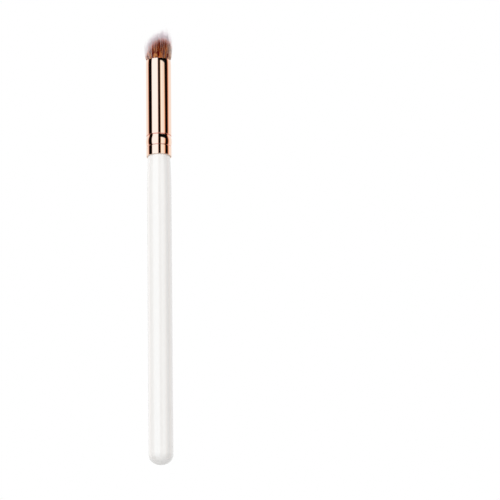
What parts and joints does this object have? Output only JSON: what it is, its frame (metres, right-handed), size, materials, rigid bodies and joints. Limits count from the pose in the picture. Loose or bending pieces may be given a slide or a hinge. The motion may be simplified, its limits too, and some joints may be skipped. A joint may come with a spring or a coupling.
{
  "type": "eyeshadow brush",
  "caption": "Slim make-up brush: a lacquered wooden handle crimped into a polished metal ferrule that holds a slanted, domed tuft of two-tone filaments.",
  "frame": {"origin": "the end of the handle's butt, on the brush's axis", "axes": "+Z along the brush from the butt to the tuft, +X towards the tuft's tall side, +Y away from the picture's viewer"},
  "size_m": [0.0105, 0.0105, 0.1707],
  "materials": {
    "turned_wood": "fine turned hardwood, sealed",
    "white_lacquer": "high-gloss white lacquer",
    "rose_gold_plate": "mirror-polished rose-gold plate on drawn brass",
    "set_glue": "set glue film",
    "amber_resin": "cured amber epoxy",
    "cotton_thread": "waxed cotton thread",
    "two_tone_filament": "fine crimped filaments, brown at the root and white at the tip"
  },
  "bodies": {
    "root": {"handle_core": "turned_wood", "handle_lacquer": "white_lacquer", "ferrule": "rose_gold_plate", "tenon_adhesive": "set_glue", "resin_plug": "amber_resin", "binding_thread": "cotton_thread", "bristle_tuft": "two_tone_filament"}
  },
  "joints": []
}
